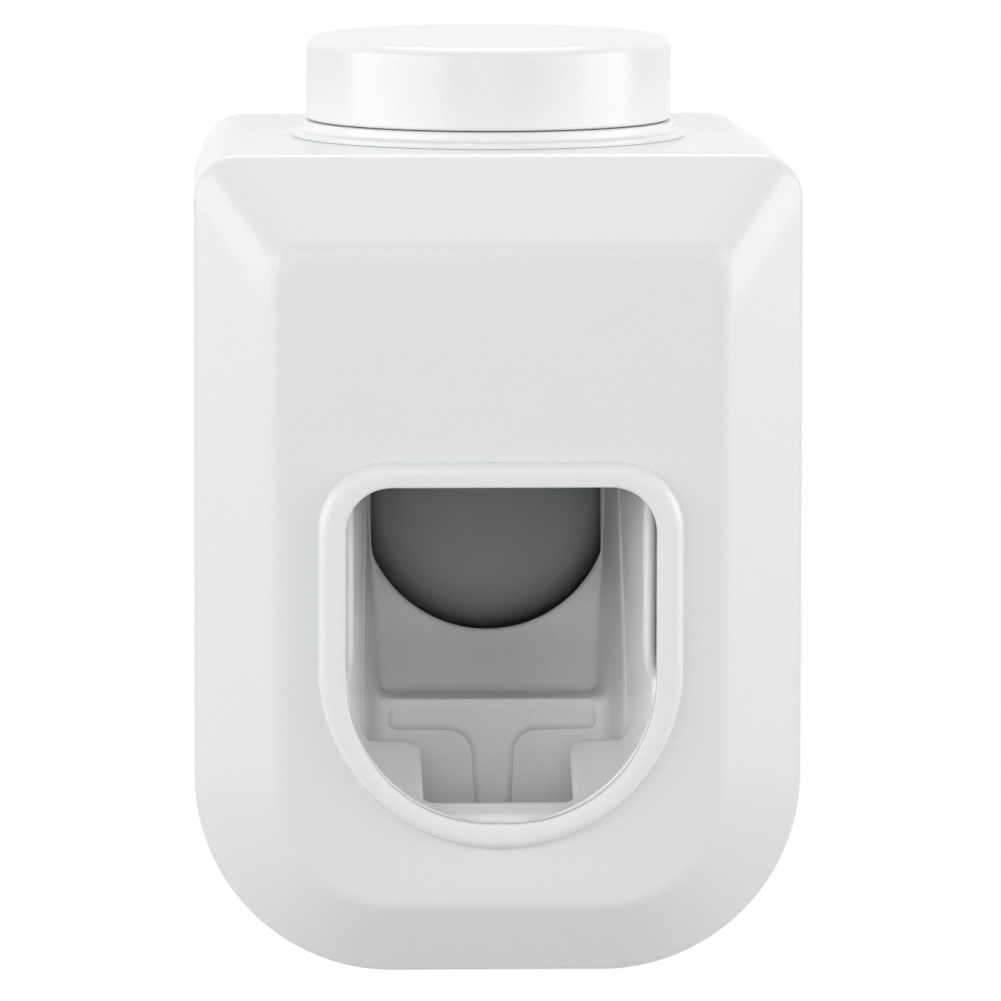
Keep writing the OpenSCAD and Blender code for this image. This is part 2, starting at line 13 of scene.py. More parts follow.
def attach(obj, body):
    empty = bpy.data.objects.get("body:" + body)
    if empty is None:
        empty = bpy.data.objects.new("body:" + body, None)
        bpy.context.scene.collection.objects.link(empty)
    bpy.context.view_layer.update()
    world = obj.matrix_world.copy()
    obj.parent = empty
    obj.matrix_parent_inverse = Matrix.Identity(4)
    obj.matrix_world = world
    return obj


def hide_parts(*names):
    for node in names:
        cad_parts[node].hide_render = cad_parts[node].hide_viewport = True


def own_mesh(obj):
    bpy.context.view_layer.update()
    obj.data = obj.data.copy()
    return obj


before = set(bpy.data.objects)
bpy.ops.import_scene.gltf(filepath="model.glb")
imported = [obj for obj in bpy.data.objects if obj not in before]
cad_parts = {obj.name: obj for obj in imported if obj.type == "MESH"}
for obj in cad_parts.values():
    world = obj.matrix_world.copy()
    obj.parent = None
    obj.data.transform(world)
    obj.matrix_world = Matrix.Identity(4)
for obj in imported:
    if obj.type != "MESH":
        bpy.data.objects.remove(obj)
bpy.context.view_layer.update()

# ---- Camera: a long lens, a little left of the object and a little above it ----
# The object is 91 mm high and fills most of the frame from 1.25 m, so the lens is very long.
MM = 0.001
EYE = (-50.459, -1240.754, 131.524)
LOOK_YAW = math.radians(2.45)
LOOK_DOWN = math.radians(6.04)
LOOK_ROLL = math.radians(0.08)
SENSOR = 36.0
LENS = 434.4
CLIP_END = 60

ahead = Vector((math.sin(LOOK_YAW) * math.cos(LOOK_DOWN), math.cos(LOOK_YAW) * math.cos(LOOK_DOWN),
                -math.sin(LOOK_DOWN)))
level = Vector((math.cos(LOOK_YAW), -math.sin(LOOK_YAW), 0))
upward = level.cross(ahead)
right = math.cos(LOOK_ROLL) * level + math.sin(LOOK_ROLL) * upward
top = math.cos(LOOK_ROLL) * upward - math.sin(LOOK_ROLL) * level
lens = bpy.data.cameras.new("studio_camera")
lens.sensor_width = SENSOR
lens.lens = LENS
lens.clip_end = CLIP_END
camera = bpy.data.objects.new("studio_camera", lens)
camera.matrix_world = Matrix.Translation([v * MM for v in EYE]) @ Matrix((right, top, -ahead)).transposed().to_4x4()
bpy.context.collection.objects.link(camera)
bpy.context.scene.camera = camera

# ---- Front cover ----
# One moulding in white ABS, 2 mm thick, with a satin face polished out of a fine spark-eroded tool.
# Its skin is a row of rings from the window's edge over the face, the chamfer and the sides to the
# joint line and back along the inside, and the hole for the collar is cut out of its top.
CASE_HALF = 30.0
CASE_TOP = 40.4
CASE_BOTTOM = -40.65
TOP_R = 4.5
BOTTOM_R = 19.6
FACE_TOP_R = 3.0
FACE_BOTTOM_R = 11.8
FACE_Y = -63.0
EDGE_Y = -56.6
SEAM_Y = -29.0
WALL = 2.0
CHAMFER = EDGE_Y - FACE_Y
CHAMFER_SIDE = 7.9
CHAMFER_TOP = 8.8
CHAMFER_BOTTOM = 7.2
WINDOW_HALF = 15.28
WINDOW_TOP = 8.15
WINDOW_BOTTOM = -24.81
WINDOW_R = 4.5
REBATE = 1.375
THROAT_Y = -31.5
COLLAR_HOLE_R = 19.0
WINDOW_CENTRE = (0.0, -8.5)
SIDE_TAPER = 0.55
SEAM_R = 0.22
CUT_REACH = 6.0
CUT_SMOOTH = 35
DRIFT_PITCH = 25.0
# Noise values over which the painted shade in the dimples turns into the full colour.
PAINTED_SHADE_RANGE = (0.35, 0.65)
DRIFT_RANGE = (0.3, 0.7)
RAYS = 720
FILLET_STEPS = 8


def rounded(half, high, low, r_high, r_low, steps=48):
    """Outline in X and Z, anticlockwise from the front: four quarter circles joined by straight lines."""
    a = np.linspace(0, math.pi / 2, steps + 1)
    corners = ((half - r_low, low + r_low, r_low, -math.pi / 2), (half - r_high, high - r_high, r_high, 0),
               (r_high - half, high - r_high, r_high, math.pi / 2), (r_low - half, low + r_low, r_low, math.pi))
    return np.concatenate([np.stack([x + r * np.cos(a + s), z + r * np.sin(a + s)], 1) for x, z, r, s in corners])


def cast(outline, centre, angles):
    """Where rays from a centre cross a closed outline: the crossing of each ray with the edge that spans its angle."""
    rel = outline - centre
    around = np.unwrap(np.arctan2(rel[:, 1], rel[:, 0]))
    rel = np.vstack([rel, rel[:1]])
    around = np.append(around, around[0] + 2 * math.pi)
    a = (angles - around[0]) % (2 * math.pi) + around[0]
    k = np.clip(np.searchsorted(around, a, side="right") - 1, 0, len(outline) - 1)
    p, step = rel[k], rel[k + 1] - rel[k]
    d = np.stack([np.cos(a), np.sin(a)], 1)
    t = -(p[:, 0] * d[:, 1] - p[:, 1] * d[:, 0]) / (step[:, 0] * d[:, 1] - step[:, 1] * d[:, 0])
    return centre + p + t[:, None] * step


def bend(a, b, c, steps=FILLET_STEPS):
    """Quadratic curve from a to c that leaves and arrives along the lines to b: a soft fillet."""
    t = np.linspace(0, 1, steps + 1)[:, None]
    return (1 - t) ** 2 * np.array(a) + 2 * t * (1 - t) * np.array(b) + t ** 2 * np.array(c)


def mesh_object(name, points, faces, smooth=40):
    """A mesh from points in millimetres and a list of face corners, smooth but for edges sharper than an angle."""
    mesh = bpy.data.meshes.new(name)
    mesh.from_pydata((np.asarray(points) * MM).tolist(), [], [list(map(int, f)) for f in faces])
    mesh.validate()
    thing = bpy.data.objects.new(name, mesh)
    bpy.context.collection.objects.link(thing)
    settle(thing, smooth)
    return thing


def settle(thing, smooth=40):
    """Shades a mesh smooth and keeps its sharp edges."""
    thing.data.shade_smooth()
    thing.data.set_sharp_from_angle(angle=math.radians(smooth))
    return thing


def grid_faces(rows, cols, wrap_rows=False, wrap_cols=True, start=0):
    """Quads between neighbouring rows and columns of a grid of points, as an array of corner numbers."""
    r = np.arange(rows if wrap_rows else rows - 1)
    c = np.arange(cols if wrap_cols else cols - 1)
    r, c = np.meshgrid(r, c, indexing="ij")
    r2, c2 = (r + 1) % rows, (c + 1) % cols
    quads = np.stack([r * cols + c, r * cols + c2, r2 * cols + c2, r2 * cols + c], -1)
    return quads.reshape(-1, 4) + start


def casing(f, t, draft=0.0):
    """Casing outline drawn in by a share f of the chamfer and by a wall t."""
    return rounded(CASE_HALF - f * CHAMFER_SIDE - t - draft, CASE_TOP - f * CHAMFER_TOP - t,
                   CASE_BOTTOM + f * CHAMFER_BOTTOM + t,
                   max(TOP_R + f * (FACE_TOP_R - TOP_R) - t, 0.5), BOTTOM_R + f * (FACE_BOTTOM_R - BOTTOM_R) - t)


def window(grow):
    """Window outline grown by a margin: rounded upper corners and a half-round bottom."""
    half = WINDOW_HALF + grow
    return rounded(half, WINDOW_TOP + grow, WINDOW_BOTTOM - grow, WINDOW_R + grow, half - 0.01)


def ring_stack(rings, centre):
    """Points of a stack of rings, each [depth, outline], cast on the same rays so that they line up."""
    angles = np.linspace(0, 2 * math.pi, RAYS, endpoint=False)
    flat = [(y, cast(o, np.array(centre), angles)) for y, o in rings]
    return np.concatenate([np.column_stack([p[:, 0], np.full(RAYS, y), p[:, 1]]) for y, p in flat])


def cut(thing, cutter, smooth=40):
    """Takes the cutter's volume out of a piece and removes the cutter."""
    modifier = thing.modifiers.new("cut", "BOOLEAN")
    modifier.object = cutter
    modifier.solver = "EXACT"
    bake(thing)
    bpy.data.objects.remove(cutter)
    return settle(thing, smooth)


def bake(thing):
    """Turns a piece's modifiers into its mesh."""
    bpy.context.view_layer.update()
    shaped = thing.evaluated_get(bpy.context.evaluated_depsgraph_get())
    mesh = bpy.data.meshes.new_from_object(shaped)
    thing.modifiers.clear()
    thing.data = mesh
    return thing


def prism(name, outline, axis, low, high):
    """Closed prism of an outline along an axis: 0 for an outline in Y and Z, 1 for X and Z, 2 for X and Y."""
    outline = np.asarray(outline, float)
    n = len(outline)
    ends = [np.insert(outline, axis, value, axis=1) for value in (low, high)]
    faces = grid_faces(2, n).tolist() + [list(range(n))[::-1], list(range(n, 2 * n))]
    thing = mesh_object(name, np.concatenate(ends), faces)
    outwards(thing)
    return thing


def outwards(thing):
    """Merges what meets in a closed mesh and turns its faces outwards."""
    shape = bmesh.new()
    shape.from_mesh(thing.data)
    bmesh.ops.remove_doubles(shape, verts=shape.verts, dist=1e-7)
    bmesh.ops.dissolve_degenerate(shape, edges=shape.edges, dist=1e-8)
    bmesh.ops.recalc_face_normals(shape, faces=shape.faces)
    shape.to_mesh(thing.data)
    shape.free()
    return thing


def arc_points(x, y, r, start, end, steps=48):
    """Points of a circular arc between two angles in degrees."""
    a = np.radians(np.linspace(start, end, steps + 1))
    return np.column_stack([x + r * np.cos(a), y + r * np.sin(a)])


def linear(code):
    """Linear colour of an sRGB hex value."""
    parts = np.array([int(code[i:i + 2], 16) / 255 for i in (1, 3, 5)])
    return [*np.where(parts <= 0.04045, parts / 12.92, ((parts + 0.055) / 1.055) ** 2.4), 1.0]


def add(tree, kind, links=(), **settings):
    """Adds a node, sets its properties and input values, and links its inputs: {input: (node, output)}."""
    node = tree.nodes.new(kind)
    for key, value in settings.items():
        socket = key.replace("_", " ").title()
        if socket in node.inputs:
            node.inputs[socket].default_value = value
        else:
            setattr(node, key, value)
    for key, (source, output) in dict(links).items():
        tree.links.new(source.outputs[output], node.inputs[key])
    return node


def blank_material(name):
    """A material with an empty node tree."""
    material = bpy.data.materials.new(name)
    material.use_nodes = True
    material.node_tree.nodes.clear()
    return material, material.node_tree


def moulded(name, colour, shade, roughness, grain, depth, swing=0.05):
    """Moulded plastic or rubber: fine dimples of the tool's finish with their pitch and depth in mm, a colour with
    painted shade that makes it a little darker in the dimples, where the relief is low, and a gloss that drifts
    slightly over a longer pitch."""
    material, tree = blank_material(name)
    place = add(tree, "ShaderNodeTexCoord")
    drift = add(tree, "ShaderNodeTexNoise", {"Vector": (place, "Object")}, scale=1 / (DRIFT_PITCH * MM), detail=0.0)
    dimples = add(tree, "ShaderNodeTexNoise", {"Vector": (place, "Object")}, scale=1 / (grain * MM), detail=2.0)
    # Painted shade: the ramp darkens the colour in the dimples, where the bump's relief is low.
    tone_and_painted_shade = add(tree, "ShaderNodeValToRGB", {"Fac": (dimples, "Fac")})
    for stop, position, tone in zip(tone_and_painted_shade.color_ramp.elements, PAINTED_SHADE_RANGE, (shade, colour)):
        stop.position = position
        stop.color = linear(tone)
    gloss = add(tree, "ShaderNodeMapRange", {"Value": (drift, "Fac")}, from_min=DRIFT_RANGE[0], from_max=DRIFT_RANGE[1],
                to_min=roughness - swing, to_max=roughness + swing)
    relief = add(tree, "ShaderNodeBump", {"Height": (dimples, "Fac")}, strength=1.0, distance=depth * MM)
    surface = add(tree, "ShaderNodeBsdfPrincipled",
                  {"Base Color": (tone_and_painted_shade, "Color"), "Roughness": (gloss, "Result"), "Normal": (relief, "Normal")})
    add(tree, "ShaderNodeOutputMaterial", {"Surface": (surface, "BSDF")})
    return material


def dress(thing, material, body, slot, *nodes):
    """Gives a piece its material, its body and the solids that it stands for, which it hides; the finish slot is not
    used.
    """
    thing.data.materials.clear()
    thing.data.materials.append(material)
    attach(thing, body)
    if nodes:
        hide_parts(*nodes)
    return thing


# The second colour of each moulded material is the painted shade in its dimples.
SHELL_ABS = moulded("white_satin_abs", "#e5e6e7", "#e3e4e5", 0.25, 0.35, 0.002, 0.015)


def taper(y):
    """How far each side wall is drawn in at a depth, in a straight line from the front edge to the joint."""
    return SIDE_TAPER * max((y - EDGE_Y) / (SEAM_Y - EDGE_Y), 0)


def seam_edge(side, angles):
    """Rings of the quarter-round edge at the joint line: side is -1 for the cover and 1 for the rear shell."""
    return [[SEAM_Y + side * SEAM_R * (1 - math.sin(a)), casing(0, SEAM_R * (1 - math.cos(a)), SIDE_TAPER)]
            for a in np.radians(angles)]


face_fillet = bend((0.90, EDGE_Y - 0.90 * CHAMFER), (1.0, FACE_Y), (1.10, FACE_Y))
edge_fillet = bend((0.0, EDGE_Y + 0.5), (0.0, EDGE_Y), (0.05, EDGE_Y - 0.05 * CHAMFER))
cover_rings = [[FACE_Y + WALL, window(REBATE)], [FACE_Y + 0.3, window(REBATE)], [FACE_Y + 0.08, window(REBATE + 0.08)],
               [FACE_Y, window(REBATE + 0.3)], [FACE_Y, window(REBATE + 1.5)], [FACE_Y, casing(1.2, 0)]]
cover_rings += [[y, casing(f, 0)] for f, y in face_fillet[::-1]]
cover_rings += [[y, casing(f, 0)] for f, y in edge_fillet[::-1]]
cover_rings += [[y, casing(0, 0, taper(y))] for y in (EDGE_Y + 1.2, -47.0, -38.0, SEAM_Y - 0.6)]
cover_rings += seam_edge(-1, [0, 22, 45, 68, 90])
cover_rings += [[SEAM_Y, casing(0, WALL - 0.15, SIDE_TAPER)]]
cover_rings += [[y, casing(0, WALL, taper(y))] for y in (SEAM_Y - 0.15, SEAM_Y - 0.6, -45.0)]
cover_rings += [[EDGE_Y + 0.8, casing(0, WALL)], [FACE_Y + WALL, casing(0.98, 1.0)],
                [FACE_Y + WALL, window(REBATE + 1.5)]]
points = ring_stack(cover_rings, WINDOW_CENTRE)
cover = mesh_object("front_cover_shell", points, grid_faces(len(cover_rings), RAYS, wrap_rows=True))
outwards(cover)
hole = np.vstack([arc_points(0, THROAT_Y, COLLAR_HOLE_R, 180, 360, 96),
                  [[COLLAR_HOLE_R, SEAM_Y + 2], [-COLLAR_HOLE_R, SEAM_Y + 2]]])
cut(cover, prism("collar_cutter", hole, 2, CASE_TOP - CUT_REACH, CASE_TOP + CUT_REACH), CUT_SMOOTH)
dress(cover, SHELL_ABS, "cover", "shell_white", "front_panel", "front_cover")

# ---- Rear housing ----
# The back half of the casing in the same white ABS, drafted towards the wall. A lip inside its front
# edge locates the cover. The recess for the wall plate, the two keyholes and the collar hole are cut.
REAR_Y = -1.2
REAR_DRAFT = 1.75
BACK_IN_Y = -5.4
POCKET_Y = -3.4
LIP = 2.5
LIP_GAP = 0.1
LIP_T = 1.0
BACK_R = 0.8
POCKET = (25.3, 28.5, -23.5, 1.5, 1.5, 8)
STUD_X = 22.0
STUD_Z = 16.0
STUD_SLOT_R = 2.2
STUD_HEAD_R = 3.8
LIFT = 9.0


def drafted(y, t):
    """Casing outline at a depth, drawn in by a wall and by the draft of the sides."""
    share = (y - SEAM_Y) / (REAR_Y - SEAM_Y)
    return [y, casing(0, t, SIDE_TAPER + (REAR_DRAFT - SIDE_TAPER) * max(share, 0))]


rear_rings = [[SEAM_Y, casing(0, SEAM_R, SIDE_TAPER)]]
rear_rings += seam_edge(1, [68, 45, 22, 0])
rear_rings += [drafted(y, 0) for y in (SEAM_Y + 0.8, -20.0, -10.0, REAR_Y - 1.4)]
rear_rings += [drafted(REAR_Y - BACK_R * (1 - math.sin(a)), BACK_R * (1 - math.cos(a)))
               for a in np.radians([0, 15, 30, 45, 60, 75, 90])]
rear_rings += [drafted(REAR_Y, 1.6)]
inner_rings = [drafted(BACK_IN_Y, WALL + 1), drafted(BACK_IN_Y, WALL + 0.3), drafted(BACK_IN_Y - 0.3, WALL)]
inner_rings += [drafted(y, WALL) for y in (-15.0, SEAM_Y + 3)]
inner_rings += [[SEAM_Y + y, casing(0, WALL + t, SIDE_TAPER)] for y, t in
                ((2, LIP_GAP + LIP_T), (0.2 - LIP, LIP_GAP + LIP_T), (-LIP, LIP_GAP + LIP_T - 0.2),
                 (-LIP, LIP_GAP + 0.2), (0.2 - LIP, LIP_GAP), (0, LIP_GAP))]
rings = rear_rings + inner_rings
points = ring_stack(rings, (0.0, 0.0))
split = len(rear_rings)
walls = [f for f in grid_faces(len(rings), RAYS, wrap_rows=True).tolist()
         if not (min(f) // RAYS == split - 1 and max(f) // RAYS == split)]
ends = [list(range((split - 1) * RAYS, split * RAYS)), list(range(split * RAYS, (split + 1) * RAYS))[::-1]]
rear = mesh_object("rear_housing_shell", points, walls + ends)
outwards(rear)
hole = arc_points(0, THROAT_Y, COLLAR_HOLE_R, 0, 360, 192)[:-1]
cut(rear, prism("collar_cutter", hole, 2, CASE_TOP - CUT_REACH, CASE_TOP + CUT_REACH), CUT_SMOOTH)
cut(rear, prism("pocket_cutter", rounded(*POCKET), 1, POCKET_Y, 1.0), CUT_SMOOTH)
for side in (-1, 1):
    key = np.vstack([arc_points(side * STUD_X, STUD_Z, STUD_SLOT_R, 0, 180, 24),
                     arc_points(side * STUD_X, STUD_Z - LIFT, STUD_HEAD_R, 125, 415, 48)])
    cut(rear, prism("keyhole_cutter", key, 1, BACK_IN_Y - 1, POCKET_Y + 0.2), CUT_SMOOTH)
dress(rear, SHELL_ABS, "housing", "shell_white", "rear_housing")

# ---- Window bezel ----
# A separate ring of glossier white ABS pressed into the window. Its section is a low rounded bead
# with a tongue behind it, carried round the window's outline.
BEZEL_W = 2.75
INNER_LOW = -25.05
INNER_LOW_R = 14.2
BEZEL_FRONT = FACE_Y - 1.4
BEZEL_SIDE = 0.97
BEZEL_RISE = 0.9
BEZEL_DROP = 2.55
BEZEL_TOP_TURN = 0.8
BEZEL_LOW_TURN = 3.7
bead = [(0.6, FACE_Y + WALL), (0.6, BEZEL_FRONT + 1.3), (0.0, BEZEL_FRONT + 1.1), (0.0, BEZEL_FRONT + 0.5)]
bead += [tuple(p) for p in bend((0.0, BEZEL_FRONT + 0.3), (0.0, BEZEL_FRONT + 0.04), (0.3, BEZEL_FRONT + 0.03), 6)]
bead += [tuple(p) for p in bend((1.5, BEZEL_FRONT), (BEZEL_W - 0.08, BEZEL_FRONT), (BEZEL_W, BEZEL_FRONT + 1.1), 10)]
bead += [(BEZEL_W, FACE_Y), (REBATE - 0.1, FACE_Y), (REBATE - 0.1, FACE_Y + WALL)]


def band(name, outline_at, section):
    """A closed section of (offset, depth) pairs carried round an outline that grows with the offset."""
    loops = [outline_at(d) for d, y in section]
    cols = len(loops[0])
    pts = np.concatenate([np.column_stack([o[:, 0], np.full(cols, y), o[:, 1]]) for o, (d, y) in zip(loops, section)])
    return outwards(mesh_object(name, pts, grid_faces(len(section), cols, wrap_rows=True), 50))


def bezel_outline(grow):
    """Outline of the bezel at an offset: the sides, the top, the bottom and the corner radii each change in a
    straight line with the offset."""
    share = grow / BEZEL_W
    return rounded(WINDOW_HALF + BEZEL_SIDE * grow, WINDOW_TOP + BEZEL_RISE * grow, INNER_LOW - share * BEZEL_DROP,
                   WINDOW_R + BEZEL_TOP_TURN * grow, INNER_LOW_R + share * BEZEL_LOW_TURN, 64)


BEZEL_ABS = moulded("white_gloss_abs", "#eaebec", "#e8e9ea", 0.22, 0.5, 0.001, 0.012)
bezel = band("window_bezel_ring", bezel_outline, bead)
dress(bezel, BEZEL_ABS, "cover", "bezel_white", "window_bezel")

# ---- Brush guide ----
# A thin funnel of pale grey ABS behind the window, with every cut edge rounded. Its floor climbs from the
# window's round lower edge to a flat shelf with a square notch for the handle, and its side walls lean in and
# start a few mm behind the window. Two ears behind its flange take the screws into the cover's bosses.
GUIDE_FRONT = FACE_Y + WALL
GUIDE_LOW_Y = -49.0
GUIDE_HIGH_Y = -41.3
GUIDE_FLOOR = -18.4
GUIDE_TOP = 8.5
GUIDE_T = 1.4
NOTCH_HALF = 7.4
NOTCH_FRONT = -58.2
SET_BACK = -57.4
GUIDE_EDGE = 0.66
FUNNEL_HALF = 15.2
FUNNEL_NARROWING = 1.95
FUNNEL_LEAN = 0.6
FUNNEL_R = 14.2
FUNNEL_R_LOSS = 13.0
EAR_FOOT_X = 15.2
EAR_HOLE_R = 1.1
EAR_X = 20.93
EAR_Y = GUIDE_FRONT + 6.0
EAR_Z = WINDOW_TOP - 8.0
EAR_R = 2.6


def filleted(corners, radii):
    """Closed polygon with round corners: each arc's centre lies on the corner's bisector, at R over the sine
    of half its angle, and the arc turns evenly from one edge to the next."""
    p = np.asarray(corners, float)
    radii = np.broadcast_to(np.asarray(radii, float), len(p))[:, None]
    before, after = np.roll(p, 1, 0) - p, np.roll(p, -1, 0) - p
    before /= np.linalg.norm(before, axis=1)[:, None]
    after /= np.linalg.norm(after, axis=1)[:, None]
    half = np.arccos(np.clip((before * after).sum(1), -1, 1))[:, None] / 2
    middle = (before + after) / np.linalg.norm(before + after, axis=1)[:, None]
    centre = p + middle * radii / np.sin(half)
    start, end = (p + e * radii / np.tan(half) - centre for e in (before, after))
    t, turn = np.linspace(0, 1, 13)[None, :, None], (math.pi - 2 * half)[:, None]
    arcs = (np.sin((1 - t) * turn) * start[:, None] + np.sin(t * turn) * end[:, None]) / np.sin(turn) + centre[:, None]
    return arcs.reshape(-1, 2)


def resampled(loop, step):
    """Closed line with a point about every step along its length."""
    loop = np.vstack([loop, loop[:1]])
    length = np.r_[0, np.cumsum(np.hypot(*np.diff(loop, axis=0).T))]
    at = np.linspace(0, length[-1], max(int(round(length[-1] / step)), 24), endpoint=False)
    return np.column_stack([np.interp(at, length, loop[:, k]) for k in (0, 1)])


def inside(points, loops):
    """Which points have an odd number of the loops' edges to their right."""
    count = np.zeros(len(points), int)
    for a in loops:
        b, y = np.roll(a, -1, 0), points[:, 1:]
        rise = np.where(a[:, 1] == b[:, 1], 1e-9, b[:, 1] - a[:, 1])
        meets = a[:, 0] + (y - a[:, 1]) * (b[:, 0] - a[:, 0]) / rise
        count += (((a[:, 1] > y) != (b[:, 1] > y)) & (points[:, :1] < meets)).sum(1)
    return count % 2 == 1


def plate(name, loops, place, thick, edge, face=1, spacing=0.8, step=0.35, smooth=50):
    """Sheet of even thickness with round edges, cut from a flat pattern and laid on a curved surface.
    place(u, v) gives the surface and the sheet lies behind it. Its rim is two quarter circles: where the
    pattern is drawn in by edge * (1 - cos a), the sheet is edge * (1 - sin a) thinner on that side."""
    rims = []
    for k, loop in enumerate(loops):
        loop = resampled(loop, step)
        x, y = loop.T
        area = (x * np.roll(y, -1) - np.roll(x, -1) * y).sum()
        loop = loop if (area > 0) == (k == 0) else loop[::-1]
        run = np.roll(loop, -1, 0) - np.roll(loop, 1, 0)
        run /= np.linalg.norm(run, axis=1)[:, None]
        rims.append([loop + edge * (1 - math.cos(a)) * np.column_stack([-run[:, 1], run[:, 0]])
                     for a in np.radians([90, 65, 40, 20, 0])])
    inner = [r[0] for r in rims]
    low, high = inner[0].min(0), inner[0].max(0)
    u, v = np.meshgrid(np.arange(low[0], high[0], spacing), np.arange(low[1], high[1], spacing * 0.866))
    u = u + spacing / 2 * (np.arange(len(u)) % 2)[:, None]
    net = np.column_stack([u.ravel(), v.ravel()])
    net = net[inside(net, inner)]
    near = np.concatenate(inner)
    gap = np.concatenate([np.hypot(*(part[:, None] - near[None]).transpose(2, 0, 1)).min(1)
                          for part in np.array_split(net, len(net) // 500 + 1)])
    flat = np.concatenate([near, net[gap > 0.45 * spacing]])
    starts = np.r_[0, np.cumsum([len(r) for r in inner])]
    ties = np.concatenate([np.column_stack([np.arange(len(r)), np.roll(np.arange(len(r)), -1)]) + s
                           for r, s in zip(inner, starts)])
    found = delaunay_2d_cdt([Vector(p) for p in flat.tolist()], ties.tolist(), [], 1, 1e-6)
    back = np.array([source[0] for source in found[3]])
    triangles = back[np.array(found[2])]
    triangles = triangles[inside(flat[triangles].mean(1), inner)]

    def raised(pattern, height):
        """Surface point plus height times the unit normal, the cross product of the two slopes."""
        u, v = pattern.T
        e = 0.01
        across, down = place(u + e, v) - place(u - e, v), place(u, v + e) - place(u, v - e)
        normal = np.cross(across, down)
        return place(u, v) + height * face * normal / np.linalg.norm(normal, axis=1)[:, None]

    points, faces = [raised(flat, 0), raised(flat, -thick)], [triangles, triangles[:, ::-1] + len(flat)]
    total = 2 * len(flat)
    for rim, s in zip(rims, starts):
        n = len(rim[0])
        sines = [edge * (1 - math.sin(a)) for a in np.radians([65, 40, 20, 0])]
        points += [raised(p, -d) for p, d in zip(rim[1:], sines)]
        points += [raised(p, d - thick) for p, d in zip(rim[:0:-1], sines[::-1])]
        rows = [s] + [total + n * k for k in range(8)] + [s + len(flat)]
        total += 8 * n
        i, j = np.arange(n), np.roll(np.arange(n), -1)
        faces += [np.column_stack([p + i, p + j, q + j, q + i]) for p, q in zip(rows, rows[1:])]
    return outwards(mesh_object(name, np.concatenate(points), [f for part in faces for f in part.tolist()], smooth))


def combined(name, *things):
    """One object with the meshes of several."""
    shape = bmesh.new()
    for thing in things:
        shape.from_mesh(thing.data)
        bpy.data.objects.remove(thing)
    mesh = bpy.data.meshes.new(name)
    shape.to_mesh(mesh)
    shape.free()
    whole = bpy.data.objects.new(name, mesh)
    bpy.context.collection.objects.link(whole)
    return whole


def funnel_sizes(y):
    """Half width, floor height and corner radius of the funnel's section at a depth. With s the way from the flange
    to the notch, the floor changes straight, the half width with s^0.75 and the radius with s^0.45, so that the
    floor is soon flat across the notch. Behind the notch the walls lean in a little more."""
    s = np.clip((y - GUIDE_FRONT) / (GUIDE_LOW_Y - GUIDE_FRONT), 0, 1)
    lean = np.clip((y - GUIDE_LOW_Y) / (GUIDE_HIGH_Y - GUIDE_LOW_Y), 0, 1.2)
    front_floor = INNER_LOW + 0.1
    half = FUNNEL_HALF - FUNNEL_NARROWING * s ** 0.75 - FUNNEL_LEAN * lean
    return half, front_floor + s * (GUIDE_FLOOR - front_floor), FUNNEL_R - FUNNEL_R_LOSS * s ** 0.45


def funnel(u, y):
    """The funnel's surface: u runs from the middle of the floor along the flat, round the corner and up the wall."""
    half, low, r = funnel_sizes(y)
    a, bend_length = np.abs(u), r * math.pi / 2
    angle = np.clip((a - (half - r)) / r, 0, math.pi / 2)
    x = np.minimum(a, half - r) + r * np.sin(angle)
    z = low + r * (1 - np.cos(angle)) + np.maximum(a - (half - r) - bend_length, 0)
    return np.column_stack([np.sign(u) * x, y, z])


def rim_length(y):
    """Length of the section from the middle of the floor to the top of the wall."""
    half, low, r = funnel_sizes(np.float64(y))
    return (half - r) + r * math.pi / 2 + GUIDE_TOP - low - r


front_u, rear_u = rim_length(SET_BACK), rim_length(GUIDE_HIGH_Y)
half_pattern = [(24.0, GUIDE_FRONT), (25.2, SET_BACK), (front_u, SET_BACK), (rear_u, GUIDE_HIGH_Y),
                (13.2, GUIDE_LOW_Y), (NOTCH_HALF, GUIDE_LOW_Y), (NOTCH_HALF, NOTCH_FRONT)]
half_radii = [0.9, 1.5, 0.9, 0.9, 6.0, 1.8, 0.9]
pattern = filleted(half_pattern + [(-x, y) for x, y in half_pattern[::-1]], half_radii + half_radii[::-1])
chute = plate("funnel", [pattern], funnel, GUIDE_T, GUIDE_EDGE, spacing=0.7, step=0.3)


def upright(y):
    """Surface that maps a pattern in X and Z onto a plane at a depth."""
    return lambda u, v: np.column_stack([u, np.full(len(u), y), v])


flange_section = [(0.9, GUIDE_FRONT + 0.02), (REBATE + 1.1, GUIDE_FRONT + 0.02), (REBATE + 1.3, GUIDE_FRONT + 0.2),
                  (REBATE + 1.3, GUIDE_FRONT + 1.0), (REBATE + 1.1, GUIDE_FRONT + 1.2), (0.9, GUIDE_FRONT + 1.2)]
flange = band("guide_flange", window, flange_section)
ears = []
for side in (-1, 1):
    tab = filleted([(EAR_FOOT_X, EAR_Z - EAR_R), (EAR_X + EAR_R, EAR_Z - EAR_R), (EAR_X + EAR_R, EAR_Z + EAR_R),
                    (EAR_FOOT_X, EAR_Z + EAR_R)], [0.6, EAR_R - 0.01, EAR_R - 0.01, 0.6]) * (side, 1)
    screw_hole = arc_points(side * EAR_X, EAR_Z, EAR_HOLE_R, 0, 345, 23)
    ears.append(plate("ear", [tab, screw_hole], upright(EAR_Y + 0.02), 1.16, 0.2, face=1, spacing=1.2, step=0.3))
guide = combined("brush_guide_funnel", chute, flange, *ears)
GUIDE_ABS = moulded("pale_grey_abs", "#fafafa", "#f8f8f8", 0.33, 0.4, 0.003)
dress(guide, GUIDE_ABS, "cover", "guide_grey", "brush_guide")

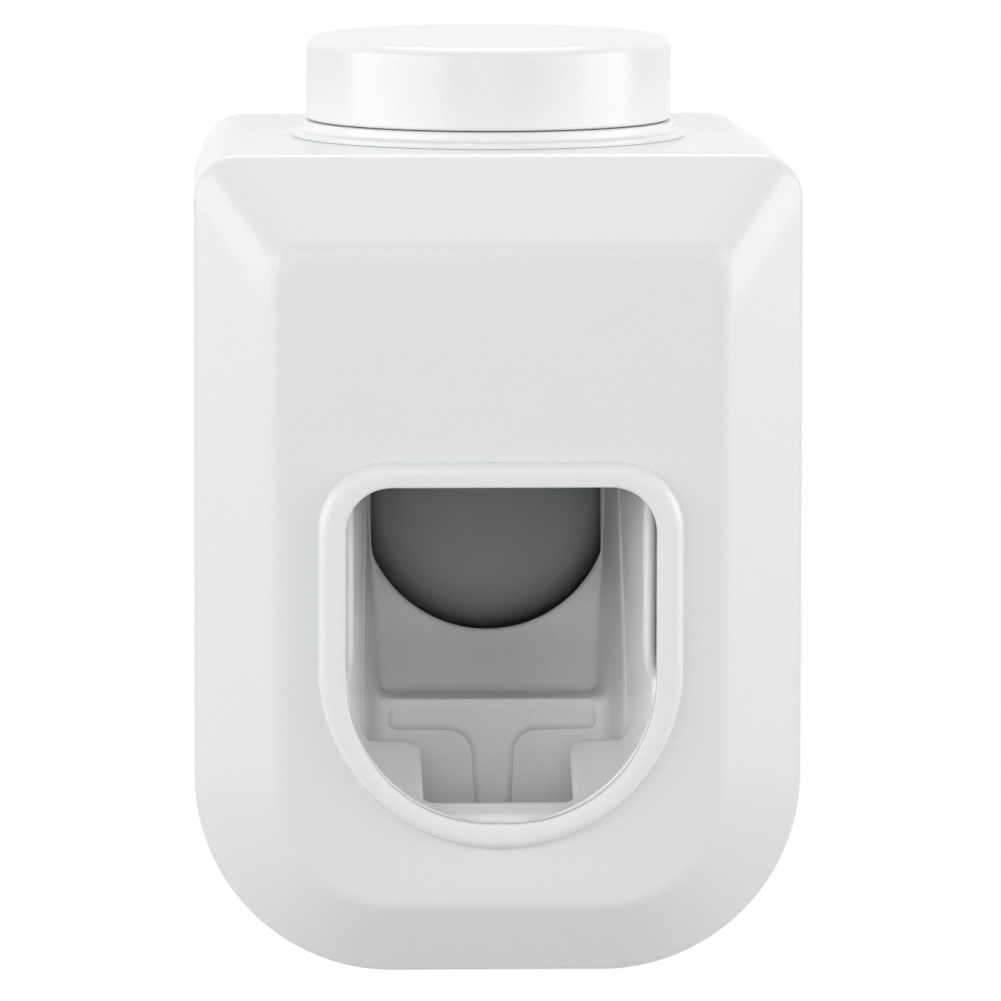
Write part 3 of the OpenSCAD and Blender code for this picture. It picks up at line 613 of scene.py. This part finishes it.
# ---- Push lever ----
# One grey acetal moulding that hangs from the axle. Its pierced plate comes down in front of the bulb, steps
# forward into a shelf, and ends in the ribbed face that the brush pushes. Side walls carry it, and the inner
# corners between them and the plate are coved, wider towards the foot.
LEVER_T = 1.9
WALL_T = 1.7
PIVOT_Y = -18.0
PIVOT_Z = 28.5
BORE_R = 2.25
SUNK_IN_PLATE = 0.3
SUNK_IN_WALL = 0.4
BULB_Z = 2.5
SLOT_R = 12.5
SLOT_HALF = 11.65
PATH = np.array([(-25.5, 9.0), (-27.0, 2.0), (-30.0, -10.0), (-33.4, -15.7), (-42.25, -15.15), (-42.25, -17.1),
                 (-45.17, -26.2)])
PATH_R = [0, 30.0, 14.0, 0.6, 0.7, 1.6, 0]
ROOT_HALF = ([-24.4, -15.5, -10.0, 2.0, 9.0], [11.0, 11.0, 11.25, 12.0, 12.1])
ROOT_Y = ([-24.4, -15.5, -10.0, 2.0, 9.0, 30.0], [-35.0, -33.5, -30.0, -27.0, -25.5, -22.0])
FRONT_HALF = ([-18.4, 8.5], [13.1, 12.5])
FRONT_Y = ([-24.4, -18.4, 8.5, 30.0], [-49.0, -48.3, -40.6, -34.4])
WALL_POWER = ([-16.5, -10.5], [2.6, 1.0])


def open_path(corners, radii, step=0.15):
    """Open line with round corners, and the length along it."""
    p = filleted(corners, [0.01] + list(radii[1:-1]) + [0.01]).reshape(len(corners), -1, 2)
    line = np.vstack([corners[:1], p[1:-1].reshape(-1, 2), corners[-1:]])
    length = np.r_[0, np.cumsum(np.hypot(*np.diff(line, axis=0).T))]
    at = np.linspace(0, length[-1], int(length[-1] / step))
    return np.column_stack([np.interp(at, length, line[:, k]) for k in (0, 1)]), at


lever_line, lever_at = open_path(PATH, PATH_R)


def on_lever(u, v):
    """Plate surface: u across, v the length down the lever's side line, run on straight past its ends."""
    ends = np.gradient(lever_line, lever_at, axis=0)
    out = []
    for k in (0, 1):
        inner = np.interp(v, lever_at, lever_line[:, k])
        out.append(inner + np.minimum(v, 0) * ends[0, k] + np.maximum(v - lever_at[-1], 0) * ends[-1, k])
    return np.column_stack([u, out[0], out[1]])


def root_half(z):
    """Half width of the plate where it meets the side walls, from a table of heights and half widths."""
    return np.interp(z, *ROOT_HALF)


def wall_surface(side):
    """Inner face of a side wall: x grows from the plate's root to the front edge, in a straight line beside the plate
    and with a power of 2.6 beside the push block, where the wall curves in."""
    def place(y, z):
        root, front = np.interp(z, *ROOT_Y), np.interp(z, *FRONT_Y)
        share = np.clip((root - y) / (root - front), 0, 1.1) ** np.interp(z, *WALL_POWER)
        x = root_half(z) + share * (np.interp(z, *FRONT_HALF) - root_half(z))
        return np.column_stack([side * x, y, z])
    return place


foot_v = lever_at[-1]
slot_v = np.interp(-BULB_Z, -lever_line[:, 1], lever_at)
reach = math.asin(SLOT_HALF / SLOT_R)
swing = np.linspace(reach, -reach, 61)
scoop = np.column_stack([SLOT_R * np.sin(swing), slot_v + SLOT_R * np.cos(swing)])
blank = np.vstack([[(-13, foot_v - 0.2), (13, foot_v - 0.2), (13, -1), (SLOT_HALF, -1)], scoop,
                   [(-SLOT_HALF, -1), (-13, -1)]])
web = plate("web", [filleted(blank, [0.6, 0.6, 0.6, 0.6] + [1.0] * 61 + [0.6, 0.6])], on_lever, LEVER_T, 0.45,
            face=-1, step=0.25)

WALL_OUTLINE = filleted([(-21.8, 32.2), (-31.2, 11.5), (-40.4, 8.9), (-48.0, -17.0), (-47.5, -20.2), (-45.4, -26.2),
                         (-33.4, -26.2), (-28.6, -10.9), (-25.4, 1.5), (-23.2, 10.5), (-14.2, 25.0), (-14.2, 32.2)],
                        [3.5, 6.0, 1.2, 1.5, 1.0, 1.2, 2.0, 8.0, 20.0, 8.0, 3.0, 3.5])
bore = arc_points(PIVOT_Y, PIVOT_Z, BORE_R, 0, 345, 23)
side_walls = [plate("side_wall", [WALL_OUTLINE, bore], wall_surface(side), WALL_T, 0.6,
                    face=-side, spacing=0.9, step=0.3) for side in (-1, 1)]


def cove(line, size, side):
    """Rounded inner corner between plate and wall: across it runs the quadratic curve (1-t)^2 A + 2t(1-t) C + t^2 B
    from A on the plate, by way of the corner C, to B on the wall. B is C moved off the plate by the size and then
    averaged over 4 mm down the line, so that it turns the bends of the plate without a fold."""
    run = np.gradient(line, axis=0)
    run /= np.linalg.norm(run, axis=1)[:, None]
    off = line + size[:, None] * np.column_stack([run[:, 1], -run[:, 0]])
    width = 13
    padded = np.pad(off, ((width, width), (0, 0)), mode="edge")
    sums = np.cumsum(padded, axis=0)
    off = (sums[2 * width:] - sums[:-2 * width]) / (2 * width)
    half, half_off = (wall_surface(1)(p[:, 0], p[:, 1])[:, 0] for p in (line, off))
    back = np.column_stack([np.zeros(len(run)), -run[:, 1], run[:, 0]]) * SUNK_IN_PLATE
    aside = (SUNK_IN_WALL, 0, 0)
    a, c, b = np.column_stack([half - size, line]), np.column_stack([half, line]), np.column_stack([half_off, off])
    t = np.linspace(0, 1, 9)[:, None, None]
    rows = list((1 - t) ** 2 * a + 2 * t * (1 - t) * c + t ** 2 * b)
    rows = [a + back] + rows + [b + aside, c + aside + back]
    points = np.concatenate(rows) * (side, 1, 1)
    count, cols = len(rows), len(line)
    faces = grid_faces(count, cols, wrap_rows=True, wrap_cols=False).tolist()
    faces += [[k * cols for k in range(count)], [k * cols + cols - 1 for k in range(count)]]
    return outwards(mesh_object("root_cove", points, faces, 60))


coved = lever_at > slot_v + 3
crease_v = lever_at[np.argmax(lever_line[:, 0] < PATH[3, 0])]
cove_size = np.interp(lever_at[coved], [slot_v + 4, crease_v - 4.5, crease_v, crease_v + 6, foot_v],
                      [0.15, 0.9, 1.5, 1.8, 1.6])
coves = [cove(lever_line[coved], cove_size, side) for side in (-1, 1)]

BLOCK_TOP = np.array([-42.0, -15.35])
BLOCK_END = np.array([-45.5, -26.2])


def on_block(u, v):
    """Flat face of the push block: v runs down it from the shelf's front edge."""
    run = (BLOCK_END - BLOCK_TOP) / np.linalg.norm(BLOCK_END - BLOCK_TOP)
    spot = BLOCK_TOP + np.asarray(v)[:, None] * run
    return np.column_stack([u, spot])


BLOCK_LENGTH = np.linalg.norm(BLOCK_END - BLOCK_TOP)
rib = filleted([(-10.75, 0.0), (10.75, 0.0), (10.65, 3.2), (2.4, 3.35), (1.95, BLOCK_LENGTH), (-1.95, BLOCK_LENGTH),
                (-2.4, 3.35), (-10.65, 3.2)], [1.1, 1.1, 1.1, 2.2, 1.2, 1.2, 2.2, 1.1])
ribs = plate("push_rib", [rib], on_block, 2.6, 0.75, face=-1, spacing=0.7, step=0.25)
bar_line = filleted([(-28.6, 5.1), (-26.6, 5.1), (-26.6, 8.9), (-28.6, 8.9)], 0.6)
bar = prism("bar", bar_line, 0, -12.0, 12.0)
BOSS = filleted([(BORE_R, 11.95), (3.2, 11.95), (3.2, 13.85), (BORE_R, 13.85)], 0.2)


def turned(name, profile, centre, axis, steps=96, smooth=40):
    """Closed profile of (radius, height) pairs turned once round an axis through a centre."""
    a = np.linspace(0, 2 * math.pi, steps, endpoint=False)
    r, h = np.asarray(profile, float).T
    flat = np.stack([np.outer(r, np.cos(a)), np.outer(r, np.sin(a)), np.outer(h, np.ones(steps))], -1)
    order = {"x": (2, 0, 1), "y": (0, 2, 1), "z": (0, 1, 2)}[axis]
    pts = flat[..., order].reshape(-1, 3) + centre
    faces = grid_faces(len(r), steps, wrap_rows=True)
    return outwards(mesh_object(name, pts, faces, smooth))


eyes = [turned("lever_boss", BOSS * (1, side), (0, PIVOT_Y, PIVOT_Z), "x") for side in (-1, 1)]
lever = combined("push_lever_moulding", web, *side_walls, *coves, ribs, bar, *eyes)
LEVER_ACETAL = moulded("grey_acetal", "#ebecec", "#e8e9e9", 0.42, 0.5, 0.004)
dress(lever, LEVER_ACETAL, "lever", "lever_grey", "push_lever")

# ---- Pump bulb and its clamp ring ----
# A dark silicone dome, moulded with a matt skin and turned here as one hollow profile. The real bulb flattens when
# the lever pushes it and springs back; here it is built in its rest shape. The ring that clamps its foot is the same
# colour.
dome = [(0, -26.4), (3.0, -26.36), (6.0, -26.2), (8.6, -25.85), (10.4, -25.3), (11.6, -24.5), (12.5, -23.2),
        (13.0, -21.4), (13.2, -19.3), (13.75, -18.2), (13.75, -17.5), (11.6, -17.5), (11.4, -20.6), (10.9, -22.2),
        (9.9, -23.3), (8.0, -24.1), (5.4, -24.5), (2.8, -24.7), (0, -24.75)]
bulb = turned("pump_bulb_dome", dome, (0, 0, BULB_Z), "y", 160, 60)
BULB_SILICONE = moulded("dark_silicone", "#a9abae", "#a5a7aa", 0.55, 0.3, 0.003)
foot_line = filleted([(9.6, -17.45), (12.5, -17.45), (12.5, -14.55), (9.6, -14.55)], 0.3)
foot = turned("bulb_foot", foot_line, (0, 0, BULB_Z), "y", 160)
bulb = combined("pump_bulb_dome", bulb, foot)
dress(bulb, BULB_SILICONE, "housing", "bulb_silicone", "pump_bulb")
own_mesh(bulb)
clamp_line = filleted([(11.4, -17.45), (13.9, -17.45), (13.9, -12.55), (12.9, -12.55), (12.9, -16.0), (11.4, -16.0)],
                      [0.2, 0.5, 0.3, 0.3, 0.2, 0.2])
clamp = turned("bulb_clamp_ring", clamp_line, (0, 0, BULB_Z), "y", 160)
dress(clamp, BULB_SILICONE, "housing", "bulb_silicone", "bulb_ring")

# ---- Dust cap ----
# A lift-off lid turned as one profile: white ABS with a polished top, a soft upper edge and a thin
# skirt that drops over the collar's neck. A foam disc is stuck under its ceiling.
THROAT = (0, THROAT_Y, 0)
CAP_R = 18.3
CAP_LOW = 42.1
CAP_HIGH = 50.4
CAP_IN_R = 16.7
CAP_IN_HIGH = 49.0


def lid(corners, radii):
    """Profile of a lid: round corners, with its two ends brought back exactly to the axis."""
    beyond = [(-5, corners[k][1]) for k in (0, -1)]
    soft = filleted(beyond[:1] + corners[1:-1] + beyond[1:], [0.01] + radii + [0.01])[13:-13]
    return np.vstack([corners[:1], soft, corners[-1:]])


cap_line = lid([(0, CAP_HIGH), (CAP_R, CAP_HIGH), (CAP_R, CAP_LOW), (CAP_IN_R, CAP_LOW), (CAP_IN_R, CAP_IN_HIGH),
                (0, CAP_IN_HIGH)], [1.3, 0.35, 0.25, 0.5])
cap = turned("dust_cap_lid", cap_line, THROAT, "z", 256)
CAP_ABS = moulded("white_polished_abs", "#eaebeb", "#e8e9e9", 0.25, 0.5, 0.001, 0.015)
dress(cap, CAP_ABS, "cap", "cap_white", "dust_cap")

# ---- Inlet collar ----
# A ring of the same polished white ABS, turned as one profile, that closes the hole of both shells: a thin
# flange, a step, and the neck under the cap with the throat for the tube.
collar_line = filleted([(12.5, 37.5), (18.9, 37.5), (18.9, 40.42), (19.7, 40.42), (19.7, 40.95), (18.75, 41.1),
                        (18.75, 42.0), (16.2, 42.0), (16.2, 43.75), (12.5, 43.75)],
                       [0.2, 0.3, 0.02, 0.05, 0.3, 0.3, 0.3, 0.1, 0.3, 0.2])
collar = turned("inlet_collar_ring", collar_line, THROAT, "z", 256)
dress(collar, CAP_ABS, "housing", "cap_white", "inlet_collar")

# ---- Hidden and small parts ----
# These keep their CAD shapes: plain mouldings, turned steel and cut foam. The mouldings get broken
# edges, as a tool leaves them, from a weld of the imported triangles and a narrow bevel.
FRAME_ABS = moulded("natural_abs", "#d3d4d2", "#cdcecb", 0.48, 0.4, 0.006)
PUMP_PP = moulded("natural_polypropylene", "#d9dad7", "#d3d5d0", 0.40, 0.6, 0.004)
SEAL_SILICONE = moulded("grey_silicone", "#8d9093", "#85888b", 0.52, 0.3, 0.003)
BUSH_ACETAL = moulded("white_acetal", "#dcdcda", "#d7d7d4", 0.36, 0.4, 0.003)
STOP_RUBBER = moulded("black_rubber", "#2b2b2c", "#262627", 0.70, 0.25, 0.006)
PAD_FOAM = moulded("acrylic_foam", "#c9c9c7", "#bebebb", 0.85, 0.6, 0.05)
WELD_REACH = 0.005
BROKEN_EDGE = 0.15


def metal(name, colour, roughness, stretch, pitch, depth):
    """Bright steel with fine lines: noise squeezed across one axis, so its pitch in mm runs along the stretch."""
    material, tree = blank_material(name)
    place = add(tree, "ShaderNodeTexCoord")
    pulled = add(tree, "ShaderNodeMapping", {"Vector": (place, "Object")}, scale=stretch)
    lines = add(tree, "ShaderNodeTexNoise", {"Vector": (pulled, "Vector")}, scale=1 / (pitch * MM), detail=3.0)
    gloss = add(tree, "ShaderNodeMapRange", {"Value": (lines, "Fac")}, to_min=roughness - 0.06, to_max=roughness + 0.08)
    relief = add(tree, "ShaderNodeBump", {"Height": (lines, "Fac")}, strength=1.0, distance=depth * MM)
    surface = add(tree, "ShaderNodeBsdfPrincipled", {"Roughness": (gloss, "Result"), "Normal": (relief, "Normal")},
                  base_color=linear(colour), metallic=1.0)
    add(tree, "ShaderNodeOutputMaterial", {"Surface": (surface, "BSDF")})
    return material


SCREW_STEEL = metal("zinc_plated_steel", "#b9bbbe", 0.30, (1, 1, 1), 0.3, 0.002)
AXLE_STEEL = metal("ground_stainless_steel", "#c4c3c1", 0.22, (1, 0.05, 0.05), 0.15, 0.001)
kept = {"wall_plate": FRAME_ABS, "chassis": FRAME_ABS, "pump_body": PUMP_PP, "duct_plugs": PUMP_PP, "nozzle": PUMP_PP,
        "neck_ring": SEAL_SILICONE, "tube_gasket": SEAL_SILICONE, "inlet_valve": SEAL_SILICONE,
        "outlet_valve": SEAL_SILICONE, "lever_bushes": BUSH_ACETAL, "lever_stop": STOP_RUBBER,
        "adhesive_pad": PAD_FOAM, "cap_seal": PAD_FOAM, "chassis_screws": SCREW_STEEL, "pump_screws": SCREW_STEEL,
        "guide_screws": SCREW_STEEL, "axle_clips": SCREW_STEEL, "lever_axle": AXLE_STEEL}
for node, material in kept.items():
    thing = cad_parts[node]
    thing.data.materials.clear()
    thing.data.materials.append(material)
    if material in (FRAME_ABS, PUMP_PP, BUSH_ACETAL):
        weld = thing.modifiers.new("weld", "WELD")
        weld.merge_threshold = WELD_REACH * MM
        edge = thing.modifiers.new("broken_edges", "BEVEL")
        edge.width = BROKEN_EDGE * MM
        edge.segments = 2
        edge.limit_method = "ANGLE"
        edge.angle_limit = math.radians(50)

# ---- Floor and light ----
# A white studio: even light from all round, a broad box at each side, one above and three in front, so
# that no side of the casing goes dark. The dispenser hangs on its wall, and the floor lies 1.2 m below it.
FLOOR_Z = -1200.0
FLOOR_R = 6000.0
FLOOR_GLOW = 0.85
AMBIENT = 0.29
LAMP_AIM = (0, -40, 0)


def direct_rays(tree):
    """A value of 1 for rays from the camera, off gloss or through glass, and 0 for all others."""
    ray = add(tree, "ShaderNodeLightPath")
    seen = add(tree, "ShaderNodeMath", {0: (ray, "Is Camera Ray"), 1: (ray, "Is Glossy Ray")}, operation="MAXIMUM")
    return add(tree, "ShaderNodeMath", {0: (seen, "Value"), 1: (ray, "Is Transmission Ray")}, operation="MAXIMUM")


floor_ring = arc_points(0, 0, FLOOR_R, 0, 357, 119)
floor = mesh_object("floor", np.insert(floor_ring, 2, FLOOR_Z, axis=1), [list(range(120))])
paint, tree = blank_material("pale_floor")
share = add(tree, "ShaderNodeMath", {0: (direct_rays(tree), "Value")}, operation="MULTIPLY")
share.inputs[1].default_value = FLOOR_GLOW
matt = add(tree, "ShaderNodeBsdfDiffuse", color=linear("#e8e8e8"))
glow = add(tree, "ShaderNodeEmission", color=linear("#ffffff"))
both = add(tree, "ShaderNodeMixShader", {0: (share, "Value"), 1: (matt, "BSDF"), 2: (glow, "Emission")})
add(tree, "ShaderNodeOutputMaterial", {"Surface": (both, "Shader")})
floor.data.materials.append(paint)

world = bpy.data.worlds.new("studio")
bpy.context.scene.world = world
world.use_nodes = True
tree = world.node_tree
tree.nodes.clear()
brightness = add(tree, "ShaderNodeMapRange", {"Value": (direct_rays(tree), "Value")}, to_min=AMBIENT, to_max=1.0)
sky = add(tree, "ShaderNodeBackground", {"Strength": (brightness, "Result")}, color=linear("#ffffff"))
add(tree, "ShaderNodeOutputWorld", {"Surface": (sky, "Background")})


def softbox(name, spot, width, height, watts):
    """Rectangular lamp at a spot in mm that faces the middle of the casing."""
    lamp = bpy.data.lights.new(name, "AREA")
    lamp.shape = "RECTANGLE"
    lamp.size, lamp.size_y = width * MM, height * MM
    lamp.energy = watts
    thing = bpy.data.objects.new(name, lamp)
    thing.location = Vector(spot) * MM
    thing.visible_camera = False
    thing.rotation_euler = (Vector(LAMP_AIM) - Vector(spot)).to_track_quat("-Z", "Y").to_euler()
    bpy.context.collection.objects.link(thing)


softbox("key_left", (-1500, -350, 320), 1100, 900, 9.8)
softbox("fill_right", (1500, -350, 320), 1100, 900, 11.6)
softbox("top", (0, 330, 1200), 900, 700, 7.8)
softbox("front", (-100, -1750, 330), 900, 900, 4.3)
softbox("front_left", (-1150, -1250, 330), 900, 900, 6.9)
softbox("front_right", (1150, -1250, 330), 900, 900, 4.4)

bpy.context.scene.view_settings.view_transform = "Standard"
